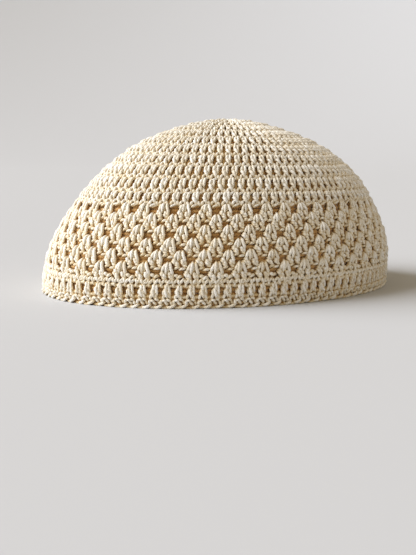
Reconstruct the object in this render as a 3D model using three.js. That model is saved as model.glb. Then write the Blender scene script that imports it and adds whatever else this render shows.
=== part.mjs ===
// A crocheted kufi: a close-fitting cotton skull cap worked in the round from its crown to its rim.
// Millimetres, +Z up. The rim rests on z = 0, the wearer faces -Y and the wearer's left is +X.
//
// The cap is an open dome of four worked zones, one below the other, each a wall of its own:
// solid rounds on the crown, lace rounds around the head, a brow band and a corded rim edge.
// Every round stands out as a soft ridge, and the inside is smooth.

import * as THREE from 'three';

// The dome over the crests of its rounds, at the rim.
const LENGTH = 210;
const WIDTH = 160;
const HEIGHT = 94;

// The crocheted wall, crest to inner face, and how far the groove between two rounds sinks in.
const WALL = 3.0;
const GROOVE = 0.8;

// Room left between two zones, so that their walls don't touch.
const GAP = 0.3;

// How finely a wall is divided around the head, and where in a round its crest stands.
const FACETS_AROUND = 48;
const CREST_PLACE = 0.6;

// Cross-sections of the dome. The angle is measured at the dome's centre, from straight up (0)
// to the rim (90). Length and width are shares of a plain ellipsoid's section at that angle,
// and back is how far the section's centre lies behind the rim's, in millimetres.
const SECTIONS = [
  { angle: 0, length: 0.84, width: 0.88, back: 4.0 },
  { angle: 15, length: 0.9, width: 0.94, back: 4.5 },
  { angle: 30, length: 0.99, width: 1.03, back: 5.5 },
  { angle: 45, length: 1.0, width: 1.03, back: 6.0 },
  { angle: 60, length: 1.0, width: 1.02, back: 4.5 },
  { angle: 75, length: 1.01, width: 1.025, back: 2.0 },
  { angle: 90, length: 1.0, width: 1.0, back: 0.0 },
];

// The zones from the top down: the angle at which each one ends, and its rounds from the top down
// as relative heights. The brow band is a tall round of posts between two low ones.
const ZONES = [
  { name: 'crown', ends: 57.6, rounds: Array(11).fill(1), colour: '#e9e3d5' },
  { name: 'lace_band', ends: 81.5, rounds: Array(6).fill(1), colour: '#e6dfcf' },
  { name: 'brow_band', ends: 88.7, rounds: [1, 2.3, 1], colour: '#e9e3d5' },
  { name: 'rim_edge', ends: 90, rounds: [1], colour: '#ece6d9' },
];

const RIM_ANGLE = 90;
const COTTON_ROUGHNESS = 0.85;
const SLOPE_STEP = 0.01;

// Smooth values between the sections, level where the dome is level and upright at the rim.
const sectionAngles = SECTIONS.map((section) => section.angle);
const sectionValues = SECTIONS.flatMap(({ length, width, back }) => [length, width, back]);
const sectionCurve = new THREE.CubicInterpolant(sectionAngles, sectionValues, 3);
sectionCurve.settings = {
  endingStart: THREE.ZeroSlopeEnding,
  endingEnd: THREE.ZeroSlopeEnding,
};

// The point of the crest surface at an angle from the top and a turn from the front.
function crestPoint(angle, turn) {
  const [length, width, back] = sectionCurve.evaluate(THREE.MathUtils.clamp(angle, 0, RIM_ANGLE));
  const slant = THREE.MathUtils.degToRad(angle);
  const x = (WIDTH / 2) * width * Math.sin(slant) * Math.sin(turn);
  const y = back - (LENGTH / 2) * length * Math.sin(slant) * Math.cos(turn);
  return new THREE.Vector3(x, y, HEIGHT * Math.cos(slant));
}

// The outward direction there: straight up at the top, level at the rim.
function outward(angle, turn) {
  if (angle === 0) {
    return new THREE.Vector3(0, 0, 1);
  }
  const down = crestPoint(angle + SLOPE_STEP, turn).sub(crestPoint(angle - SLOPE_STEP, turn));
  const around = crestPoint(angle, turn + SLOPE_STEP).sub(crestPoint(angle, turn - SLOPE_STEP));
  const normal = down.cross(around);
  if (angle === RIM_ANGLE) {
    normal.setZ(0);
  }
  return normal.normalize();
}

// The point at a depth under the crest surface.
function wallPoint(angle, turn, depth) {
  return crestPoint(angle, turn).addScaledVector(outward(angle, turn), -depth);
}

// The angle that the gap between two zones takes up, shared by its two sides.
const MEAN_RADIUS = (LENGTH / 2 + WIDTH / 2 + HEIGHT) / 3;
const HALF_GAP_ANGLE = THREE.MathUtils.radToDeg(GAP / 2 / MEAN_RADIUS);

// The outline of a zone's wall, as stations of angle and depth: down the ridged outside, a groove
// above and below each crest, and back up the smooth inside. The crown's outline has no stations
// at the very top, where its two faces close on a point each.
function wallOutline(top, bottom, rounds) {
  const allHeights = rounds.reduce((sum, height) => sum + height, 0);
  const outside = [{ angle: top, depth: GROOVE }];
  const inside = [{ angle: top, depth: WALL }];
  let grooveAngle = top;
  rounds.forEach((height) => {
    const span = ((bottom - top) * height) / allHeights;
    outside.push({ angle: grooveAngle + CREST_PLACE * span, depth: 0 });
    grooveAngle += span;
    outside.push({ angle: grooveAngle, depth: GROOVE });
    inside.push({ angle: grooveAngle, depth: WALL });
  });
  outside[outside.length - 1].angle = bottom;
  inside[inside.length - 1].angle = bottom;
  return [...outside, ...inside.reverse()].filter((station) => station.angle > 0);
}

// Two triangles between neighbouring stations of neighbouring turns.
function quad(upperLeft, upperRight, lowerLeft, lowerRight) {
  return [upperLeft, lowerLeft, lowerRight, upperLeft, lowerRight, upperRight];
}

// The wall of one zone as a closed shell: a ring that runs all around the head, or, where it
// starts at the very top, a cap whose outer and inner faces each close on a pole.
function zoneGeometry(top, bottom, rounds) {
  const isCap = top === 0;
  const stations = wallOutline(top, bottom, rounds);
  const count = stations.length;
  const points = [];
  for (let facet = 0; facet < FACETS_AROUND; facet += 1) {
    const turn = (facet / FACETS_AROUND) * 2 * Math.PI;
    stations.forEach(({ angle, depth }) => points.push(wallPoint(angle, turn, depth)));
  }
  const outerPole = points.length;
  const innerPole = outerPole + 1;
  if (isCap) {
    points.push(wallPoint(0, 0, GROOVE), wallPoint(0, 0, WALL));
  }
  const faces = [];
  for (let facet = 0; facet < FACETS_AROUND; facet += 1) {
    const here = facet * count;
    const next = ((facet + 1) % FACETS_AROUND) * count;
    for (let station = 0; station < count - 1; station += 1) {
      faces.push(...quad(here + station, next + station, here + station + 1, next + station + 1));
    }
    if (isCap) {
      faces.push(outerPole, here, next);
      faces.push(innerPole, next + count - 1, here + count - 1);
    } else {
      faces.push(...quad(here + count - 1, next + count - 1, here, next));
    }
  }
  const geometry = new THREE.BufferGeometry().setFromPoints(points);
  geometry.setIndex(faces);
  geometry.computeVertexNormals();
  return geometry;
}

// One zone of the cap as a named mesh of matt cotton.
function zoneMesh(name, geometry, colour) {
  const cotton = new THREE.MeshStandardMaterial({
    color: colour,
    roughness: COTTON_ROUGHNESS,
    metalness: 0,
  });
  const mesh = new THREE.Mesh(geometry, cotton);
  mesh.name = name;
  return mesh;
}

const kufi = new THREE.Group();
let zoneTop = 0;
ZONES.forEach(({ name, ends, rounds, colour }) => {
  const top = zoneTop === 0 ? 0 : zoneTop + HALF_GAP_ANGLE;
  const bottom = ends === RIM_ANGLE ? RIM_ANGLE : ends - HALF_GAP_ANGLE;
  kufi.add(zoneMesh(name, zoneGeometry(top, bottom, rounds), colour));
  zoneTop = ends;
});

export default kufi;
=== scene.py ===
import logging
import math
from abc import ABC, abstractmethod
from dataclasses import dataclass, field, replace
from enum import Enum

import bpy
import numpy as np
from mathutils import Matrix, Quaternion, Vector


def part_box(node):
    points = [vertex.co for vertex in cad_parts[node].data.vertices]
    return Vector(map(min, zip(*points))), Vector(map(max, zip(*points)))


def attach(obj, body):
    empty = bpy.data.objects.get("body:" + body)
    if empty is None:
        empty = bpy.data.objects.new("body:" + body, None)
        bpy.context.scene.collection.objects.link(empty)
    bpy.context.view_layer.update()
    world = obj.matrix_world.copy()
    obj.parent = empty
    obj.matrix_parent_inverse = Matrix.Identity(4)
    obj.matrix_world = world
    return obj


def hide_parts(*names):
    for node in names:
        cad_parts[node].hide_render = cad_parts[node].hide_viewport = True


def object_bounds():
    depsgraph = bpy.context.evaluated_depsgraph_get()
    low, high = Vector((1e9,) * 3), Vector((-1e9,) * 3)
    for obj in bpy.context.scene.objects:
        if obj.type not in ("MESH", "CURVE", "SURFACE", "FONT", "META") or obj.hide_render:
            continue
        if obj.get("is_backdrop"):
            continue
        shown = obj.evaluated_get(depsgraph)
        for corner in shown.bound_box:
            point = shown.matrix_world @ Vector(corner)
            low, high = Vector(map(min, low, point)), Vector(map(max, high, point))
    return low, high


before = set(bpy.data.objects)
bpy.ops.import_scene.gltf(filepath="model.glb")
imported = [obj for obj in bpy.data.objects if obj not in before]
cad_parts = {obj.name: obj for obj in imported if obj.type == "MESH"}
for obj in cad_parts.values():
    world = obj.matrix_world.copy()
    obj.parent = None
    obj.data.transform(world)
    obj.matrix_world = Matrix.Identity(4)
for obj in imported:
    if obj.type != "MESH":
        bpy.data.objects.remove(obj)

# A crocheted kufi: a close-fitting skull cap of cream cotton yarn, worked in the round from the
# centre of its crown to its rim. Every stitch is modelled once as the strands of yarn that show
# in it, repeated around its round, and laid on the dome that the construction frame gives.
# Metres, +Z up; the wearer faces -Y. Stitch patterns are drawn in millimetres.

LOG = logging.getLogger("kufi")
MM = 0.001
SEED = 20  # Fixes the unevenness of the stitches, so that every cap made here is the same one.


def linear(colour_hex: str) -> tuple[float, float, float, float]:
    """Turn an sRGB hex colour into a linear one.

    Args:
        colour_hex: The colour as "#RRGGBB".

    Returns:
        Linear red, green and blue, and an alpha of 1.
    """
    channels = [int(colour_hex[i:i + 2], 16) / 255 for i in (1, 3, 5)]
    curved = [c / 12.92 if c <= 0.04045 else ((c + 0.055) / 1.055) ** 2.4 for c in channels]
    return (*curved, 1.0)


def pick_only(thing: bpy.types.Object) -> None:
    """Select one object alone and make it active, because operators act on all that is selected.

    Args:
        thing: The object.
    """
    bpy.ops.object.select_all(action="DESELECT")
    thing.select_set(True)
    bpy.context.view_layer.objects.active = thing


def joined(things: list[bpy.types.Object], name: str) -> bpy.types.Object:
    """Join mesh objects into one.

    Args:
        things: The objects; the first one keeps its place.
        name: What the joined object is called.

    Returns:
        The joined object.
    """
    pick_only(things[0])
    for thing in things[1:]:
        thing.select_set(True)
    if len(things) > 1:
        bpy.ops.object.join()
    things[0].name = name
    things[0].data.name = name
    return things[0]


def mark(thing: bpy.types.Object, name: str, values: np.ndarray) -> None:
    """Store a value for each vertex of a mesh, under a name."""
    kept = thing.data.attributes.new(name, "FLOAT", "POINT")
    kept.data.foreach_set("value", values.astype(np.float32))


# ---------------------------------------------------------------------------------------------
# The dome
# ---------------------------------------------------------------------------------------------


@dataclass(frozen=True)
class Section:
    """One cross-section of the dome, at an angle from straight up.

    Length and width are shares of a plain ellipsoid's section there, and back is how far its
    centre lies behind the rim's, in millimetres.
    """

    angle: float
    length: float
    width: float
    back: float


SECTIONS = (
    Section(angle=0, length=0.84, width=0.88, back=4.0),
    Section(angle=15, length=0.9, width=0.94, back=4.5),
    Section(angle=30, length=0.99, width=1.03, back=5.5),
    Section(angle=45, length=1.0, width=1.03, back=6.0),
    Section(angle=60, length=1.0, width=1.02, back=4.5),
    Section(angle=75, length=1.01, width=1.025, back=2.0),
    Section(angle=90, length=1.0, width=1.0, back=0.0),
)


@dataclass
class Dome:
    """The cap's form over the crests of its rounds, at the sizes of the construction frame.

    Length, width and height are in metres. Slopes are measured over slope_step, in degrees down
    the dome and radians around it, and a round's girth over turns_measured short chords.
    """

    length: float
    width: float
    height: float
    sections: tuple[Section, ...] = SECTIONS
    slope_step: float = 0.01
    turns_measured: int = 720

    def values_at(self, angle: np.ndarray) -> np.ndarray:
        """Smooth section values between the table's rows, level at both ends.

        Args:
            angle: Angles from straight up, in degrees.

        Returns:
            One row of length, width and back for each angle.
        """
        knots = np.array([row.angle for row in self.sections], float)
        rows = np.array([(row.length, row.width, row.back) for row in self.sections])
        slopes = np.zeros_like(rows)
        slopes[1:-1] = (rows[2:] - rows[:-2]) / (knots[2:] - knots[:-2])[:, None]
        place = np.clip(np.searchsorted(knots, angle) - 1, 0, len(knots) - 2)
        span = (knots[place + 1] - knots[place])[:, None]
        part = np.clip((angle - knots[place]) / span[:, 0], 0, 1)[:, None]
        square, cube = part**2, part**3
        return (
            (2 * cube - 3 * square + 1) * rows[place]
            + (cube - 2 * square + part) * span * slopes[place]
            + (3 * square - 2 * cube) * rows[place + 1]
            + (cube - square) * span * slopes[place + 1]
        )

    def crest(self, angle: np.ndarray, turn: np.ndarray) -> np.ndarray:
        """Points of the crest surface.

        Args:
            angle: Angles from straight up, in degrees.
            turn: Turns from the front towards the wearer's left, in radians.

        Returns:
            One point for each pair, in metres.
        """
        values = self.values_at(angle)
        slant = np.radians(angle)
        x = self.width / 2 * values[:, 1] * np.sin(slant) * np.sin(turn)
        y = values[:, 2] * MM - self.length / 2 * values[:, 0] * np.sin(slant) * np.cos(turn)
        return np.stack([x, y, self.height * np.cos(slant)], axis=1)

    def outward(self, angle: np.ndarray, turn: np.ndarray) -> np.ndarray:
        """Unit directions straight out of the crest surface.

        Args:
            angle: Angles from straight up, in degrees, none of them 0.
            turn: Turns from the front, in radians.

        Returns:
            One direction for each pair.
        """
        step = self.slope_step
        down = self.crest(angle + step, turn) - self.crest(angle - step, turn)
        around = self.crest(angle, turn + step) - self.crest(angle, turn - step)
        normal = np.cross(down, around)
        return normal / np.linalg.norm(normal, axis=1)[:, None]

    def turn_at(self, angle: float, share: np.ndarray) -> np.ndarray:
        """Turns that space stitches evenly along a round, which is longer at its sides than its ends.

        Args:
            angle: The round's angle from straight up, in degrees.
            share: Shares of the way around, where 1 is once around.

        Returns:
            The turns, in radians.
        """
        turns = np.linspace(0, 2 * math.pi, self.turns_measured + 1)
        points = self.crest(np.full_like(turns, angle), turns)
        run = np.concatenate([[0], np.cumsum(np.linalg.norm(np.diff(points, axis=0), axis=1))])
        whole = np.floor(share)
        return np.interp(share - whole, run / run[-1], turns) + whole * 2 * math.pi


# ---------------------------------------------------------------------------------------------
# Yarn and stitches
# ---------------------------------------------------------------------------------------------


@dataclass(frozen=True)
class Yarn:
    """Cotton yarn: how thick it is and how tightly its plies are twisted, in millimetres.

    A strand thins to end_girth of its thickness where it dives into the work, or to
    hidden_end_girth at the back, where it is also pressed to a share of its depth. Steps are the
    pieces that a bend has between two points, roundness adds sides around the strand, and points
    closer together than weld become one.
    """

    thickness: float = 1.8
    twist_pitch: float = 4.4
    end_girth: float = 0.7
    hidden_end_girth: float = 1.0
    pressed: float = 0.4
    steps: int = 2
    roundness: int = 1
    hidden_steps: int = 1
    hidden_roundness: int = 0
    weld: float = 0.018


@dataclass(frozen=True)
class Strand:
    """A stretch of yarn that shows in a stitch.

    The path runs through points of across, down and out, in millimetres: across to the right of
    the stitch's middle, down from the round's upper edge and out from the middle of the wall.
    """

    name: str
    path: tuple[tuple[float, float, float], ...]
    girth: float = 1.0
    behind: bool = False

    def model(self, yarn: Yarn) -> bpy.types.Object:
        """Model the strand as a closed mesh.

        Args:
            yarn: The yarn that it is a stretch of.

        Returns:
            The strand, with a UV map of twists along it and of the way around it.
        """
        thing = self.draw(yarn)
        twists = thing.data.splines[0].calc_length() / (yarn.twist_pitch * MM)
        bpy.ops.object.convert(target="MESH")
        bpy.ops.object.mode_set(mode="EDIT")
        bpy.ops.mesh.select_all(action="SELECT")
        bpy.ops.mesh.remove_doubles(threshold=yarn.weld * MM)
        bpy.ops.object.mode_set(mode="OBJECT")
        if self.behind:
            self.press(thing, yarn.pressed)
        layer = thing.data.uv_layers[0]
        places = np.zeros(len(layer.data) * 2, np.float32)
        layer.data.foreach_get("uv", places)
        places[0::2] *= twists
        layer.data.foreach_set("uv", places)
        return thing

    def draw(self, yarn: Yarn) -> bpy.types.Object:
        """Draw the strand as a curve with round sides and closed ends.

        Args:
            yarn: The yarn that it is a stretch of.

        Returns:
            The curve.
        """
        bpy.ops.curve.primitive_bezier_curve_add()
        thing = bpy.context.object
        spline = thing.data.splines[0]
        spline.bezier_points.add(len(self.path) - len(spline.bezier_points))
        for knot, (across, down, out) in zip(spline.bezier_points, self.path):
            knot.co = (across * MM, -out * MM, -down * MM)
        end_girth = yarn.hidden_end_girth if self.behind else yarn.end_girth
        spline.bezier_points[0].radius = end_girth
        spline.bezier_points[-1].radius = end_girth
        bpy.ops.object.mode_set(mode="EDIT")
        bpy.ops.curve.select_all(action="SELECT")
        bpy.ops.curve.handle_type_set(type="AUTOMATIC")
        bpy.ops.object.mode_set(mode="OBJECT")
        thing.data.bevel_depth = yarn.thickness * self.girth / 2 * MM
        thing.data.bevel_resolution = yarn.hidden_roundness if self.behind else yarn.roundness
        thing.data.resolution_u = yarn.hidden_steps if self.behind else yarn.steps
        thing.data.use_fill_caps = True
        return thing

    def press(self, thing: bpy.types.Object, share: float) -> None:
        """Flatten the strand's mesh against the back of the wall.

        Args:
            thing: The mesh, drawn facing -Y.
            share: What is left of its depth, where 1 is all of it.
        """
        middle = sum(vertex.co.y for vertex in thing.data.vertices) / len(thing.data.vertices)
        for vertex in thing.data.vertices:
            vertex.co.y = middle + (vertex.co.y - middle) * share


def backings(
    downs: dict[str, float], left: float, right: float, out: float, girth: float
) -> tuple[Strand, ...]:
    """Level stretches of yarn across the back of a stitch, which show only through its gaps. They are
    partly the yarn at the back of the stitch and partly a fill that closes gaps which stand open in the
    real cap; the finish paints them deep honey, which is painted shade for the shadow seen through the
    gaps.

    Args:
        downs: How far down each one runs, by its name.
        left: Where they start, across.
        right: Where they end, across.
        out: How far out from the middle of the wall they lie.
        girth: How thick they are, against the yarn.

    Returns:
        The strands, in the order of their names.
    """
    middle = (left + right) / 2
    return tuple(
        Strand(name, ((left, down, out), (middle, down, out), (right, down, out)), girth, behind=True)
        for name, down in downs.items()
    )


def lowered(strands: tuple[Strand, ...], drop: float) -> tuple[Strand, ...]:
    """Copies of strands that lie further down.

    Args:
        strands: The strands.
        drop: How much further down, in millimetres.

    Returns:
        The copies, in the same order.
    """
    moved = []
    for strand in strands:
        path = tuple((across, round(down + drop, 2), out) for across, down, out in strand.path)
        moved.append(replace(strand, path=path))
    return tuple(moved)


@dataclass(frozen=True)
class Stitch:
    """A stitch, or a cluster of them, as it repeats along its round.

    Sizes are in millimetres; slack is how thick the yarn lies in it, 1 where it is pulled least.
    """

    name: str
    width: float
    height: float
    strands: tuple[Strand, ...]
    slack: float = 1.0

    def model(self, yarn: Yarn) -> bpy.types.Object:
        """Model every strand of the stitch once, number its points by strand, and join them.

        Args:
            yarn: The yarn that it is worked in.

        Returns:
            The stitch.
        """
        relaxed = replace(yarn, thickness=yarn.thickness * self.slack)
        things = [strand.model(relaxed) for strand in self.strands]
        for place, thing in enumerate(things):
            mark(thing, "strand", np.full(len(thing.data.vertices), place))
        return joined(things, self.name)


# A double crochet: two legs that lean together under a rounded head, feet that spread over the
# next round and a strand of its chain between them.
DOUBLE = Stitch(
    name="double_crochet",
    width=5.3,
    height=8.9,
    slack=0.88,
    strands=(
        Strand("right_leg", ((0.8, -0.9, -0.4), (0.9, 0.3, 1.2), (1.0, 3.2, 1.4),
                             (1.3, 6.0, 0.1)), 1.05),
        Strand("left_loop", ((0.2, -0.8, -0.3), (-0.5, 0.4, 1.0), (-1.05, 2.2, 1.5),
                             (-0.9, 4.3, 0.3)), 1.2),
        Strand("left_leg", ((-1.5, 2.8, -0.3), (-0.9, 4.2, 1.5), (0.1, 5.9, 1.5), (1.1, 8.2, 0.0)), 1.15),
        Strand("left_foot", ((-0.4, 5.1, 0.2), (-1.2, 6.5, 1.1), (-1.6, 7.8, 1.05),
                             (-1.7, 9.0, 0.2)), 1.05),
        Strand("right_foot", ((1.0, 5.7, 0.0), (1.6, 6.9, 0.85), (2.2, 8.0, 0.9), (2.8, 9.2, 0.2))),
        Strand("front_chain", ((-1.5, 10.2, 0.1), (-0.5, 9.7, 1.1), (0.8, 8.9, 1.25),
                               (2.1, 8.2, 0.4)), 0.9),
        Strand("middle_leg", ((0.1, 0.4, 0.2), (-0.05, 2.2, 0.95), (0.1, 4.4, 0.9))),
        # The strands behind, partly the back of the stitch and partly a fill for its slits, are painted
        # deep honey by their depth: painted shade.
        *backings({"back_chain": 9.0}, left=-2.7, right=2.7, out=-0.5, girth=2.2),
        Strand("back_leg", ((-0.1, -0.6, -0.2), (-0.1, 4.0, -0.2), (-0.1, 8.6, -0.2)), 2.3, behind=True),
        Strand("gap_leg", ((2.6, -0.4, -0.35), (2.7, 4.0, -0.35), (2.6, 8.4, -0.35)), 2.0, behind=True),
    ),
)

# Two double crochets that share one head: four legs spread from it, short strands wrap around them
# at both sides, and a chain leads over the triangular hole at their right.
CLUSTER_FRONT = (
    Strand("outer_left_leg", ((-0.5, -1.7, -0.3), (-1.1, -0.5, 0.9), (-1.9, 1.3, 1.2),
                              (-2.3, 3.3, 0.1)), 1.2),
    Strand("inner_left_leg", ((-0.35, -2.4, -0.4), (-0.4, -0.8, 1.35), (-0.35, 1.9, 1.5),
                              (-0.3, 4.4, 0.3)), 1.05),
    Strand("inner_right_leg", ((0.6, -2.0, -0.4), (0.75, -0.5, 0.6), (0.85, 1.6, 0.65),
                               (1.0, 4.0, -0.1)), 1.15),
    Strand("outer_right_leg", ((1.1, -2.2, -0.4), (1.55, -0.7, 1.0), (2.35, 1.4, 1.3),
                               (3.3, 3.3, 1.15), (3.7, 5.3, 0.1)), 1.15),
    Strand("left_wrap", ((-3.3, 2.8, 0.0), (-2.6, 3.1, 1.0), (-1.9, 3.6, 1.1),
                         (-1.2, 4.4, 0.2)), 1.1),
    Strand("left_tie", ((-3.5, 3.7, -0.2), (-2.8, 4.2, 0.85), (-2.0, 4.9, 1.0),
                        (-1.3, 5.8, 0.1)), 1.1),
    Strand("left_knot", ((-1.9, 4.1, 0.3), (-1.1, 4.7, 1.15), (-0.4, 5.4, 1.05), (0.3, 6.3, 0.1)), 1.1),
    Strand("left_foot", ((-2.0, 5.6, 0.0), (-1.2, 6.0, 0.8), (-0.3, 6.5, 0.8),
                         (0.8, 7.2, 0.0)), 1.1),
    Strand("left_chain", ((-1.9, 8.7, -0.3), (-0.9, 7.9, 0.5), (0.2, 7.5, 0.45),
                          (1.3, 7.4, -0.1)), 1.15),
    Strand("right_wrap", ((1.0, 3.4, 0.1), (1.6, 3.8, 0.95), (2.3, 4.4, 0.95), (2.8, 5.4, 0.1)), 1.15),
    Strand("right_knot", ((1.2, 4.4, 0.0), (1.9, 5.0, 0.9), (2.6, 5.7, 0.9), (3.3, 6.5, 0.0)), 1.1),
    Strand("right_tie", ((2.4, 4.1, 0.2), (3.1, 4.7, 0.85), (3.6, 5.4, 0.75), (4.0, 6.3, -0.1)), 1.15),
    Strand("right_foot", ((2.1, 5.9, -0.1), (2.9, 6.3, 0.65), (3.8, 6.8, 0.7), (4.8, 7.2, 0.0)), 1.1),
    Strand("right_chain", ((0.6, 8.9, -0.3), (1.9, 8.5, 0.8), (3.1, 8.35, 0.95), (4.5, 7.9, -0.1))),
)

# Wide strands behind the legs fill the slits between them; the finish paints them deep honey by their
# depth, as painted shade.
CLUSTER_BACK = (
    Strand("left_back", ((-0.9, -1.4, -0.2), (-1.5, 3.0, -0.1), (-1.0, 7.4, -0.4)), 2.0, behind=True),
    Strand("middle_back", ((0.3, -1.4, -0.2), (0.4, 3.0, -0.2), (0.4, 8.2, -0.5)), 2.1, behind=True),
    Strand("right_back", ((1.0, -1.4, -0.2), (2.3, 3.0, -0.2), (3.0, 8.2, -0.5)), 2.1, behind=True),
)

CLUSTER = Stitch(
    name="two_stitch_cluster",
    width=12.4,
    height=6.9,
    slack=0.86,
    strands=(
        *CLUSTER_FRONT,
        *backings(
            {"space_back": 7.8, "gap_back": 2.4, "gap_sill": 5.1},
            left=2.6, right=9.8, out=-0.8, girth=2.6,
        ),
        *CLUSTER_BACK,
    ),
)

# The first round hangs a little lower, from a chain that spans each gap under the crown.
FIRST_DROP = 0.9
FIRST_CLUSTER = replace(
    CLUSTER,
    name="first_cluster",
    height=7.2,
    strands=(
        Strand("crown_chain", ((3.6, 1.2, -0.2), (4.9, 0.8, 0.7), (6.8, -0.2, 0.8), (8.4, -1.4, 0.0)), 0.9),
        *lowered(CLUSTER_FRONT, FIRST_DROP),
        *backings(
            {"space_back": 8.3, "gap_back": 0.2, "gap_middle": 2.9, "gap_sill": 5.6},
            left=2.6, right=9.8, out=-0.8, girth=2.6,
        ),
        *lowered(CLUSTER_BACK, FIRST_DROP),
    ),
)

# The last round has a sill of two strands across the foot of each hole.
LAST_CLUSTER = replace(
    CLUSTER,
    name="last_cluster",
    strands=(
        *CLUSTER.strands,
        Strand("sill_left", ((4.0, 4.9, -0.2), (4.9, 4.6, 0.7), (5.8, 4.9, 0.85), (6.6, 5.9, 0.0)), 1.25),
        Strand("sill_right", ((5.9, 6.4, -0.1), (6.8, 5.6, 0.75), (7.7, 5.2, 0.75),
                              (8.7, 5.4, -0.2)), 1.25),
    ),
)

# A post of the open round: two legs with a loop and short strands wrapped around them, and a
# square hole at their right between an upper chain and a sill.
POST = Stitch(
    name="open_post",
    width=6.64,
    height=7.4,
    slack=0.86,
    strands=(
        Strand("right_leg", ((0.7, -1.0, -0.3), (0.9, 0.1, 1.0), (1.2, 1.6, 1.35),
                             (1.6, 3.5, 1.2), (2.0, 5.6, 0.0)), 0.95),
        Strand("right_foot", ((0.5, 4.1, 0.1), (1.0, 5.1, 1.0), (1.6, 6.2, 0.9), (2.4, 7.4, 0.0)), 1.1),
        Strand("left_loop", ((-1.3, -0.6, -0.1), (-0.7, 0.3, 1.0), (-0.3, 1.4, 1.15),
                             (-0.1, 2.7, 0.2)), 1.2),
        Strand("left_wrap", ((-1.4, 1.3, 0.0), (-1.05, 2.4, 1.15), (-0.5, 3.8, 1.45),
                             (0.0, 5.2, 1.35), (0.4, 6.9, 0.1)), 1.1),
        Strand("left_side", ((-1.6, 2.2, -0.1), (-1.65, 3.2, 0.85), (-1.3, 4.3, 1.05),
                             (-0.6, 5.4, 0.2)), 1.1),
        Strand("inner_side", ((0.1, 1.6, 0.0), (0.3, 2.8, 0.65), (0.6, 4.0, 0.7), (1.0, 5.2, 0.0)), 1.1),
        Strand("left_foot", ((-0.9, 4.5, 0.1), (-1.5, 5.4, 0.95), (-1.7, 6.4, 0.85),
                             (-1.5, 7.6, -0.1)), 1.15),
        Strand("upper_chain", ((1.4, -0.4, -0.3), (2.6, 0.0, 0.4), (3.8, 0.3, 0.4),
                               (5.1, 1.2, -0.4)), 1.2),
        Strand("sill_chain", ((1.5, 6.8, -0.4), (2.7, 6.2, -0.15), (4.1, 6.1, -0.15),
                              (5.4, 6.8, -0.4)), 1.45),
        # The strands behind, partly the back of the post and partly a fill for its hole, are painted deep
        # honey by their depth: painted shade.
        Strand("back_leg", ((0.1, -0.6, -0.1), (0.1, 3.4, -0.1), (0.3, 7.4, -0.1)), 2.2, behind=True),
        *backings(
            {"gap_back": 0.4, "gap_middle": 2.8, "gap_sill": 5.2},
            left=1.0, right=5.6, out=-0.7, girth=2.3,
        ),
        *backings({"space_back": 7.6}, left=0.0, right=6.6, out=-0.7, girth=2.3),
    ),
)

# A single crochet: a small V that points up, beside a short leg and over a strand of its chain.
SINGLE = Stitch(
    name="single_crochet",
    width=3.32,
    height=3.0,
    slack=0.84,
    strands=(
        Strand("left_top", ((-1.7, 1.9, -0.1), (-1.3, 1.2, 1.0), (-0.7, 0.4, 1.1), (-0.1, -0.5, 0.1)), 1.1),
        Strand("right_top", ((0.0, -0.3, 0.0), (0.6, 0.5, 1.0), (1.1, 1.3, 1.0), (1.5, 2.2, 0.0)), 1.1),
        Strand("side_leg", ((-1.8, 1.4, 0.0), (-1.75, 2.2, 0.9), (-1.6, 3.0, 0.8), (-1.4, 3.8, -0.1))),
        Strand("front_chain", ((-1.9, 3.7, -0.3), (-0.8, 3.3, 0.15), (0.5, 3.0, 0.2),
                               (1.8, 2.7, -0.2)), 1.15),
        *backings({"back_chain": 2.8, "back_leg": 0.7}, left=-1.7, right=1.7, out=-0.6, girth=1.8),
    ),
)

# A single crochet of the edge, as wide as the post above it: an upright, an arch, a toe and a heel.
EDGE = Stitch(
    name="edge_single_crochet",
    width=6.64,
    height=2.8,
    slack=0.84,
    strands=(
        Strand("upright", ((-2.3, 0.1, 0.1), (-2.5, 1.1, 1.0), (-2.55, 2.1, 1.0), (-2.8, 3.4, 0.1)), 1.1),
        Strand("arch_top", ((-2.1, 1.5, 0.3), (-1.5, 0.6, 1.15), (-0.6, 0.8, 1.35), (0.0, 1.9, 0.6)), 1.2),
        Strand("arch_side", ((-0.8, 1.2, 0.4), (-0.1, 1.9, 0.9), (0.6, 2.7, 0.8), (1.1, 3.7, 0.0)), 1.2),
        Strand("toe", ((0.2, -0.5, 0.0), (0.9, 0.1, 0.9), (1.7, 0.5, 0.85), (2.6, 1.3, 0.0)), 1.2),
        Strand("heel", ((2.0, 1.0, 0.1), (2.6, 1.8, 0.7), (2.9, 2.6, 0.6), (2.9, 3.5, -0.1)), 1.2),
        *backings({"upper_back": 0.5}, left=-3.6, right=3.6, out=-0.5, girth=2.1),
        *backings({"lower_back": 2.6}, left=-3.6, right=3.6, out=-0.4, girth=2.1),
    ),
)

# A slip stitch of the rim: a strand that slants up to the right over a flatter loop, so that the
# row of them looks like a cord.
SLIP = Stitch(
    name="slip_stitch",
    width=6.64,
    height=2.2,
    slack=0.76,
    strands=(
        Strand("front_chain", ((0.3, 1.0, -0.2), (1.5, 1.6, 0.8), (2.9, 1.35, 1.3),
                               (4.3, 0.75, 1.3), (5.7, -0.1, 0.2)), 1.2),
        Strand("lower_loop", ((-2.8, 1.9, -0.2), (-1.2, 1.9, 0.35), (0.6, 1.9, 0.4), (2.2, 1.9, -0.2))),
        *backings({"back_chain": 0.9}, left=-3.6, right=3.6, out=-0.6, girth=2.0),
    ),
)


class Pattern(Enum):
    """The stitches that the cap is worked in."""

    DOUBLE = DOUBLE
    FIRST_CLUSTER = FIRST_CLUSTER
    CLUSTER = CLUSTER
    LAST_CLUSTER = LAST_CLUSTER
    POST = POST
    SINGLE = SINGLE
    EDGE = EDGE
    SLIP = SLIP


@dataclass(frozen=True)
class Round:
    """One round of the cap: its stitch, how many there are and the angles that it spans.

    Top and bottom are in degrees from straight up; offset is how far around the first stitch
    starts from the front, in stitches.
    """

    pattern: Pattern
    count: int
    top: float
    bottom: float
    offset: float = 0.0


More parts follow.
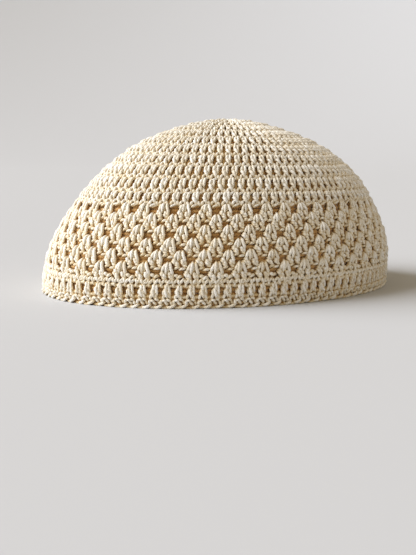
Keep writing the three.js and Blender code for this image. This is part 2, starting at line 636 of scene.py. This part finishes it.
@dataclass(frozen=True)
class Hand:
    """How unevenly a maker's hand works: the most that anything strays from its place.

    Across, down and out move a whole stitch, in millimetres; tilt turns it, in degrees; swell
    makes it larger or smaller, as a share; strand_shift moves each strand by itself.
    """

    across: float = 0.16
    down: float = 0.14
    out: float = 0.12
    tilt: float = 4.0
    swell: float = 0.05
    strand_shift: float = 0.2


@dataclass
class Crochet:
    """Works rounds of stitches and lays them on the dome.

    The wall is as thick as the construction frame's, and crest_rise is how far the dome's surface
    lies outside the middle of it, both in millimetres. No yarn comes nearer to the pole than
    least_angle, in degrees.
    """

    dome: Dome
    yarn: Yarn
    hand: Hand
    wall: float = 3.0
    crest_rise: float = 2.2
    least_angle: float = 0.3
    draws: np.random.Generator = field(default_factory=lambda: np.random.default_rng(SEED))
    samples: dict[Pattern, bpy.types.Object] = field(default_factory=dict)

    def sample(self, pattern: Pattern) -> bpy.types.Object:
        """The stitch that copies of a pattern are made from, modelled when first asked for.

        Args:
            pattern: The pattern.

        Returns:
            The stitch.
        """
        if pattern not in self.samples:
            self.samples[pattern] = pattern.value.model(self.yarn)
        return self.samples[pattern]

    def clear_samples(self) -> None:
        """Delete the stitches that the others were copied from."""
        for sample in self.samples.values():
            pick_only(sample)
            bpy.ops.object.delete()
        self.samples.clear()

    def work(self, rung: Round) -> bpy.types.Object:
        """Work one round.

        Args:
            rung: The round.

        Returns:
            Its stitches as one mesh, in place on the dome.
        """
        pick_only(self.sample(rung.pattern))
        bpy.ops.object.duplicate()
        row = bpy.context.object
        bpy.ops.object.modifier_add(type="ARRAY")
        array = row.modifiers[-1]
        array.count = rung.count
        array.use_relative_offset = False
        array.use_constant_offset = True
        array.constant_offset_displace = (rung.pattern.value.width * MM, 0, 0)
        bpy.ops.object.modifier_apply(modifier=array.name)
        self.lay(row, rung)
        bpy.ops.object.shade_smooth()
        return row

    def lay(self, row: bpy.types.Object, rung: Round) -> None:
        """Move a straight row of stitches onto its round of the dome.

        Args:
            row: The row, which runs along X and faces -Y.
            rung: The round.
        """
        stitch = rung.pattern.value
        middles = np.arange(rung.count)[:, None] * stitch.width
        places = self.unsettled(self.places(row, middles), stitch)
        *shifts, tone = self.drawn_by_strand(row, rung.count)
        across, down, out = places + np.array(shifts) * self.hand.strand_shift
        angle = rung.top + down / stitch.height * (rung.bottom - rung.top)
        angle = np.maximum(angle, self.least_angle).ravel()
        share = (across + middles) / (stitch.width * rung.count) + rung.offset / rung.count
        turn = self.dome.turn_at((rung.top + rung.bottom) / 2, share).ravel()
        rise = (out.ravel() - self.crest_rise) * MM
        laid = self.dome.crest(angle, turn) + self.dome.outward(angle, turn) * rise[:, None]
        row.data.vertices.foreach_set("co", laid.astype(np.float32).ravel())
        # How far inside the wall each point lies; the yarn's finish paints shade by it, darker and warmer
        # deeper in.
        inwards = (self.crest_rise - out.ravel()) / (self.crest_rise + self.wall / 2)
        mark(row, "inwards", np.clip(inwards, 0, 1))
        mark(row, "tone", (tone.ravel() + 1) / 2)
        row.data.update()

    def places(self, row: bpy.types.Object, middles: np.ndarray) -> np.ndarray:
        """Where the points of a straight row lie within their stitches.

        Args:
            row: The row.
            middles: The middle of each stitch along the row, in millimetres.

        Returns:
            Across, down and out, each with a row for each stitch.
        """
        points = np.zeros(len(row.data.vertices) * 3, np.float32)
        row.data.vertices.foreach_get("co", points)
        points = points.reshape(len(middles), -1, 3).astype(float) / MM
        return np.stack([points[:, :, 0] - middles, -points[:, :, 2], -points[:, :, 1]])

    def drawn_by_strand(self, row: bpy.types.Object, count: int) -> np.ndarray:
        """Draw four numbers for each strand of each stitch.

        Args:
            row: The row of stitches.
            count: How many stitches it has.

        Returns:
            Four layers from -1 to 1, each with a row for each stitch and a column for each of its
            points, which are alike along a strand.
        """
        numbers = np.zeros(len(row.data.vertices), np.float32)
        row.data.attributes["strand"].data.foreach_get("value", numbers)
        strand = numbers.reshape(count, -1)[0].astype(int)
        return self.draws.uniform(-1, 1, (4, count, strand.max() + 1))[:, :, strand]

    def unsettled(self, places: np.ndarray, stitch: Stitch) -> np.ndarray:
        """Place each stitch a little unevenly, as a hand does.

        Args:
            places: Across, down and out, each with a row for each stitch.
            stitch: The stitch.

        Returns:
            The moved places.
        """
        across, down, out = places
        drawn = self.draws.uniform(-1, 1, (len(across), 5, 1))
        tilt = np.radians(self.hand.tilt) * drawn[:, 0]
        swell = 1 + self.hand.swell * drawn[:, 1]
        below = down - stitch.height / 2
        turned_across = across * swell * np.cos(tilt) - below * np.sin(tilt)
        turned_down = across * np.sin(tilt) + below * swell * np.cos(tilt) + stitch.height / 2
        return np.stack([
            turned_across + self.hand.across * drawn[:, 2],
            turned_down + self.hand.down * drawn[:, 3],
            out + self.hand.out * drawn[:, 4],
        ])


# ---------------------------------------------------------------------------------------------
# Finishes
# ---------------------------------------------------------------------------------------------


# The colour mix node has inputs and outputs for each type of value under the same names, so those
# for colours are told by their numbers.
MIX_FACTOR, MIX_FIRST, MIX_SECOND, MIX_RESULT = 0, 6, 7, 2


def add(tree: bpy.types.NodeTree, kind: str, settings: dict, links: dict) -> bpy.types.Node:
    """Add a node.

    Args:
        tree: The material's node tree.
        kind: The node's type.
        settings: Its properties, and the values of its inputs by name or number.
        links: Sockets to join to its inputs, by the input's name or number.

    Returns:
        The node.
    """
    node = tree.nodes.new(kind)
    for key, value in settings.items():
        if isinstance(key, str) and hasattr(node, key):
            setattr(node, key, value)
        else:
            node.inputs[key].default_value = value
    for key, socket in links.items():
        tree.links.new(socket, node.inputs[key])
    return node


@dataclass(frozen=True)
class CottonYarn:
    """Undyed, smooth, three-ply cotton yarn: matt with a soft gleam along the crest of each ply.

    The yarn's own colour is the cream of its inner face. Over it the colours paint shade and highlight:
    a point is painted darker and warmer the further inside the wall it lies, to deep honey between the
    strands and behind the gaps, where shade falls and light comes back warmer each time it meets the
    cotton, and the crests are painted whiter than the cream, as a painted highlight. Depths are where
    each colour lies, from 0 at the crests to 1 at the inner face. A darker tint, shade, is laid over
    some strands more than others at random, because no two stretches of undyed yarn are quite alike.
    """

    name: str = "cream_cotton_yarn"
    # crest is painted highlight, whiter than the yarn's cream; side, flank_shade and between are painted
    # shade, darker and warmer deeper in; inner_face is the yarn's own cream.
    crest: str = "#F5F2EB"
    side: str = "#F0E5CC"
    flank_shade: str = "#DFC591"
    between: str = "#C89E62"
    inner_face: str = "#E4D2AC"
    depths: tuple[float, ...] = (0.08, 0.26, 0.42, 0.6, 0.82, 1.0)
    shade: str = "#EFE8DA"
    plies: int = 3
    ply_relief: float = 0.16
    ply_fullness: float = 0.9
    bump: float = 0.8
    roughness: float = 0.62
    ior: float = 1.45
    sheen: float = 0.25
    sheen_roughness: float = 0.4

    def dress(self, thing: bpy.types.Object) -> None:
        """Give a piece this finish, as a material of its own.

        Args:
            thing: The piece, with the attributes "inwards" and "tone" and a UV map along its yarn.
        """
        material = bpy.data.materials.new(self.name)
        material.use_nodes = True
        tree = material.node_tree
        tree.nodes.clear()
        inwards = add(tree, "ShaderNodeAttribute", {"attribute_name": "inwards"}, {})
        tone = add(tree, "ShaderNodeAttribute", {"attribute_name": "tone"}, {})
        places = add(tree, "ShaderNodeUVMap", {"uv_map": "UVMap"}, {})
        # Painted shade: this ramp colours each point by how far inside the wall it lies.
        depth = add(tree, "ShaderNodeValToRGB", {}, {"Fac": inwards.outputs["Fac"]})
        self.fill_ramp(depth.color_ramp)
        toned = add(
            tree, "ShaderNodeMix",
            {"data_type": "RGBA", "blend_type": "MULTIPLY", MIX_SECOND: linear(self.shade)},
            {MIX_FACTOR: tone.outputs["Fac"], MIX_FIRST: depth.outputs["Color"]},
        )
        plies = add(
            tree, "ShaderNodeBump", {"Strength": self.bump, "Distance": self.ply_relief * MM},
            {"Height": self.ply_height(tree, places.outputs["UV"])},
        )
        cotton = add(
            tree, "ShaderNodeBsdfPrincipled",
            {
                "Roughness": self.roughness, "IOR": self.ior,
                "Sheen Weight": self.sheen, "Sheen Roughness": self.sheen_roughness,
            },
            {"Base Color": toned.outputs[MIX_RESULT], "Normal": plies.outputs["Normal"]},
        )
        add(tree, "ShaderNodeOutputMaterial", {}, {"Surface": cotton.outputs["BSDF"]})
        thing.data.materials.clear()
        thing.data.materials.append(material)

    def fill_ramp(self, ramp: bpy.types.ColorRamp) -> None:
        """Set the painted shade and highlight: colours from the outer crest, painted whiter, through the
        wall, painted darker and warmer, to the yarn's own cream at the inner face.

        Args:
            ramp: The ramp, which reads how far inwards a point lies.
        """
        colours = (self.crest, self.side, self.flank_shade, self.between, self.between, self.inner_face)
        while len(ramp.elements) < len(colours):
            ramp.elements.new(1.0)
        for element, depth, colour in zip(ramp.elements, self.depths, colours):
            element.position = depth
            element.color = linear(colour)

    def ply_height(self, tree: bpy.types.NodeTree, places: bpy.types.NodeSocket) -> bpy.types.NodeSocket:
        """Round ridges that wind around the yarn, one for each ply.

        Args:
            tree: The material's node tree.
            places: The UV map: twists along the yarn, and the way around it.

        Returns:
            The height, from 0 in the grooves to 1 on the plies.
        """
        parts = add(tree, "ShaderNodeSeparateXYZ", {}, {"Vector": places})
        wound = add(
            tree, "ShaderNodeMath", {"operation": "ADD"}, {0: parts.outputs["X"], 1: parts.outputs["Y"]}
        )
        turns = {"operation": "MULTIPLY", 1: self.plies * math.pi}
        ply = add(tree, "ShaderNodeMath", turns, {0: wound.outputs[0]})
        wave = add(tree, "ShaderNodeMath", {"operation": "SINE"}, {0: ply.outputs[0]})
        ridge = add(tree, "ShaderNodeMath", {"operation": "ABSOLUTE"}, {0: wave.outputs[0]})
        fullness = {"operation": "POWER", 1: self.ply_fullness}
        return add(tree, "ShaderNodeMath", fullness, {0: ridge.outputs[0]}).outputs[0]


# ---------------------------------------------------------------------------------------------
# The zones of the cap
# ---------------------------------------------------------------------------------------------


@dataclass
class Zone(ABC):
    """A zone of the cap: neighbouring rounds, which stand for one node of the frame."""

    node: str
    slot: str
    finish: CottonYarn = CottonYarn()

    @abstractmethod
    def rounds(self) -> tuple[Round, ...]:
        """The zone's rounds, from the top down."""

    @abstractmethod
    def pieces(self) -> dict[str, slice]:
        """Which of the rounds each piece takes, by the piece's name."""

    def build(self, crochet: Crochet) -> list[bpy.types.Object]:
        """Work the zone's rounds and join them into its pieces.

        Args:
            crochet: What works the rounds.

        Returns:
            The pieces, from the top down.
        """
        rounds = self.rounds()
        return [
            joined([crochet.work(rung) for rung in rounds[taken]], name)
            for name, taken in self.pieces().items()
        ]

    def dress(self, piece: bpy.types.Object) -> None:
        """Finish a piece in the zone's yarn and set it on the frame in place of the node.

        Args:
            piece: The piece.
        """
        self.finish.dress(piece)
        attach(piece, "root")
        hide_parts(self.node)


@dataclass
class Crown(Zone):
    """The crown: rounds of double crochet that grow from a small ring of twelve stitches.

    Edges are the angles between rounds. Offsets keep the stitches of neighbouring rounds from
    lining up, because the real ones start wherever the round above ended.
    """

    node: str = "crown"
    slot: str = "crown_cotton"
    counts: tuple[int, ...] = (12, 24, 37, 49, 59, 66, 75, 82, 87, 91, 94)
    edges: tuple[float, ...] = (1.2, 5.4, 10.8, 16.2, 21.5, 26.9, 32.0, 37.4, 42.5, 47.9, 53.3, 57.6)
    offsets: tuple[float, ...] = (0.0, 0.37, 0.74, 0.11, 0.48, 0.85, 0.22, 0.36, 0.88, 0.29, 0.41)
    inner_rounds: int = 6
    middle_rounds: int = 3

    def rounds(self) -> tuple[Round, ...]:
        """The crown's rounds.

        Returns:
            The rounds, from the top down.
        """
        return tuple(
            Round(Pattern.DOUBLE, count, top, bottom, offset)
            for count, top, bottom, offset in zip(self.counts, self.edges, self.edges[1:], self.offsets)
        )

    def pieces(self) -> dict[str, slice]:
        """Three pieces, so that none has too many faces.

        Returns:
            Which of the rounds each piece takes, by the piece's name.
        """
        outer_start = self.inner_rounds + self.middle_rounds
        return {
            "crown_inner_rounds": slice(0, self.inner_rounds),
            "crown_middle_rounds": slice(self.inner_rounds, outer_start),
            "crown_outer_rounds": slice(outer_start, None),
        }


@dataclass
class LaceBand(Zone):
    """The lace band: rounds of clusters, each worked between two clusters of the round above.

    Edges are the angles between rounds. The first round starts at start, and each one starts a
    little more than half a cluster past the one above, which is the drift, so the holes stand in
    slanting rows. Both are in clusters.
    """

    node: str = "lace_band"
    slot: str = "lace_cotton"
    clusters: int = 48
    edges: tuple[float, ...] = (57.6, 61.7, 65.4, 69.5, 73.2, 77.1, 81.3)
    start: float = -0.08
    drift: float = 0.57
    upper_rounds: int = 3

    def rounds(self) -> tuple[Round, ...]:
        """The lace rounds, of which the first and the last have strands of their own.

        Returns:
            The rounds, from the top down.
        """
        spans = list(zip(self.edges, self.edges[1:]))
        patterns = [Pattern.CLUSTER] * len(spans)
        patterns[0] = Pattern.FIRST_CLUSTER
        patterns[-1] = Pattern.LAST_CLUSTER
        return tuple(
            Round(pattern, self.clusters, top, bottom, offset=self.start + self.drift * place)
            for place, (pattern, (top, bottom)) in enumerate(zip(patterns, spans))
        )

    def pieces(self) -> dict[str, slice]:
        """Two pieces, so that neither has too many faces.

        Returns:
            Which of the rounds each piece takes, by the piece's name.
        """
        return {
            "lace_upper_rounds": slice(0, self.upper_rounds),
            "lace_lower_rounds": slice(self.upper_rounds, None),
        }


@dataclass
class BrowBand(Zone):
    """The brow band: an open round of posts between two rounds of single crochet.

    Edges are the angles between rounds, and each offset is in stitches of its own round.
    """

    node: str = "brow_band"
    slot: str = "brow_cotton"
    posts: int = 96
    singles_to_a_post: int = 2
    edges: tuple[float, ...] = (81.3, 83.1, 87.2, 88.55)
    post_offset: float = 0.73
    edge_offset: float = 0.76

    def rounds(self) -> tuple[Round, ...]:
        """The brow rounds.

        Returns:
            The rounds, from the lace down to the edge.
        """
        top, posts_top, posts_bottom, bottom = self.edges
        return (
            Round(Pattern.SINGLE, self.posts * self.singles_to_a_post, top, posts_top),
            Round(Pattern.POST, self.posts, posts_top, posts_bottom, self.post_offset),
            Round(Pattern.EDGE, self.posts, posts_bottom, bottom, self.edge_offset),
        )

    def pieces(self) -> dict[str, slice]:
        """One piece of all the rounds."""
        return {"brow_rounds": slice(None)}


@dataclass
class RimEdge(Zone):
    """The rim: a round of slip stitches whose strands wind along the edge like a cord."""

    node: str = "rim_edge"
    slot: str = "rim_cotton"
    stitches: int = 96
    top: float = 88.55
    bottom: float = 89.9
    offset: float = 0.7

    def rounds(self) -> tuple[Round, ...]:
        """The one round of the rim."""
        return (Round(Pattern.SLIP, self.stitches, self.top, self.bottom, self.offset),)

    def pieces(self) -> dict[str, slice]:
        """One piece of the one round."""
        return {"rim_slip_stitches": slice(None)}


# ---------------------------------------------------------------------------------------------
# The studio
# ---------------------------------------------------------------------------------------------


@dataclass
class Studio:
    """A pale floor whose edge sweeps up all round, a broad soft light from the left and a camera.

    The camera stands close, about a forearm's length away, so it sees the top rounds edge on. It
    aims at the middle of the rim. Azimuth, elevation and roll are in degrees; the distance, and how
    far it sees, which is sight, are in metres; sensor and lens are in millimetres, and the shifts
    in widths of the view. The floor is flat out to floor_reach and then bends up with sweep_radius,
    both in metres, through sweep_bend degrees. The key light comes from the camera's left: aside,
    forward and above are the parts of its direction, and spread, in degrees, is how soft it is.
    """

    azimuth: float = 57.0
    elevation: float = 8.19
    distance: float = 0.55
    sensor: float = 36.0
    lens: float = 61.8
    roll: float = 0.36
    shift_right: float = -0.0234
    shift_up: float = 0.0113
    sight: float = 100.0
    floor_reach: float = 3.0
    sweep_radius: float = 9.0
    sweep_bend: float = 32.0
    floor_turns: int = 96
    floor_rings: int = 48
    paper: str = "#C6C9CF"
    paper_roughness: float = 0.95
    key_aside: float = 0.85
    key_forward: float = 0.06
    key_above: float = 0.45
    key_power: float = 5.5
    key_colour: str = "#FBFCFF"
    key_spread: float = 60.0
    room: str = "#F3DFBC"
    room_light: float = 0.45

    def directions(self) -> tuple[Vector, Vector]:
        """Where the camera stands and faces.

        Returns:
            Unit directions from the cap towards the camera and to the camera's right.
        """
        turn, rise = math.radians(self.azimuth), math.radians(self.elevation)
        back = Vector((math.sin(turn) * math.cos(rise), -math.cos(turn) * math.cos(rise), math.sin(rise)))
        return back, Vector((math.cos(turn), math.sin(turn), 0))

    def set_camera(self) -> None:
        """Place the camera and make it the scene's."""
        back, _ = self.directions()
        bpy.ops.object.camera_add(location=back * self.distance)
        camera = bpy.context.object
        camera.rotation_mode = "QUATERNION"
        rolled = Quaternion((0, 0, 1), math.radians(self.roll))
        camera.rotation_quaternion = (-back).to_track_quat("-Z", "Y") @ rolled
        camera.data.sensor_width = self.sensor
        camera.data.lens = self.lens
        camera.data.shift_x = self.shift_right
        camera.data.shift_y = self.shift_up
        camera.data.clip_end = self.sight
        bpy.context.scene.camera = camera

    def lay_floor(self) -> None:
        """Wrap a grid into a round floor and bend its edge up, out of view on every side."""
        bpy.ops.object.select_all(action="DESELECT")
        bpy.ops.mesh.primitive_grid_add(
            x_subdivisions=self.floor_turns, y_subdivisions=self.floor_rings, size=2
        )
        floor = bpy.context.object
        floor.name = "floor"
        longest = self.floor_reach + self.sweep_radius * math.radians(self.sweep_bend)
        for vertex in floor.data.vertices:
            turn = (vertex.co.x + 1) * math.pi
            run = (vertex.co.y + 1) / 2 * longest
            bend = max(run - self.floor_reach, 0) / self.sweep_radius
            reach = min(run, self.floor_reach) + self.sweep_radius * math.sin(bend)
            rise = self.sweep_radius * (1 - math.cos(bend))
            vertex.co = (reach * math.cos(turn), reach * math.sin(turn), rise)
        bpy.ops.object.mode_set(mode="EDIT")
        bpy.ops.mesh.select_all(action="SELECT")
        bpy.ops.mesh.remove_doubles(threshold=MM)
        bpy.ops.object.mode_set(mode="OBJECT")
        bpy.ops.object.shade_smooth()
        self.dress_floor(floor)
        floor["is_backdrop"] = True

    def dress_floor(self, floor: bpy.types.Object) -> None:
        """Cover the floor in matt, pale, slightly blue studio paper, which gives no reflection.

        Args:
            floor: The floor.
        """
        material = bpy.data.materials.new("pale_studio_paper")
        material.use_nodes = True
        paper = material.node_tree.nodes["Principled BSDF"]
        paper.inputs["Base Color"].default_value = linear(self.paper)
        paper.inputs["Roughness"].default_value = self.paper_roughness
        floor.data.materials.append(material)

    def light(self) -> None:
        """Set a broad soft light at the camera's left and light the whole room evenly."""
        back, right = self.directions()
        towards = -right * self.key_aside + back * self.key_forward + Vector((0, 0, self.key_above))
        bpy.ops.object.light_add(type="SUN", location=towards)
        lamp = bpy.context.object
        lamp.name = "key"
        lamp.data.energy = self.key_power
        lamp.data.color = linear(self.key_colour)[:3]
        lamp.data.angle = math.radians(self.key_spread)
        lamp.rotation_mode = "QUATERNION"
        lamp.rotation_quaternion = (-towards).to_track_quat("-Z", "Y")
        world = bpy.data.worlds.new("soft_room")
        world.use_nodes = True
        room = world.node_tree.nodes["Background"]
        room.inputs["Color"].default_value = linear(self.room)
        room.inputs["Strength"].default_value = self.room_light
        bpy.context.scene.world = world
        bpy.context.scene.view_settings.view_transform = "Standard"


def main() -> None:
    """Build the cap zone by zone, then the studio around it."""
    logging.basicConfig(level=logging.INFO, format="%(name)s: %(message)s")
    low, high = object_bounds()
    studio = Studio()
    studio.set_camera()
    rim_low, rim_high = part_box("rim_edge")
    dome = Dome(length=rim_high.y - rim_low.y, width=rim_high.x - rim_low.x, height=high.z - low.z)
    crochet = Crochet(dome, Yarn(), Hand())
    for zone in (Crown(), LaceBand(), BrowBand(), RimEdge()):
        for piece in zone.build(crochet):
            zone.dress(piece)
            triangles = sum(len(face.vertices) - 2 for face in piece.data.polygons)
            LOG.info("%s, in %s: %d triangles", piece.name, zone.node, triangles)
    crochet.clear_samples()
    studio.lay_floor()
    studio.light()


if __name__ == "__main__":
    main()
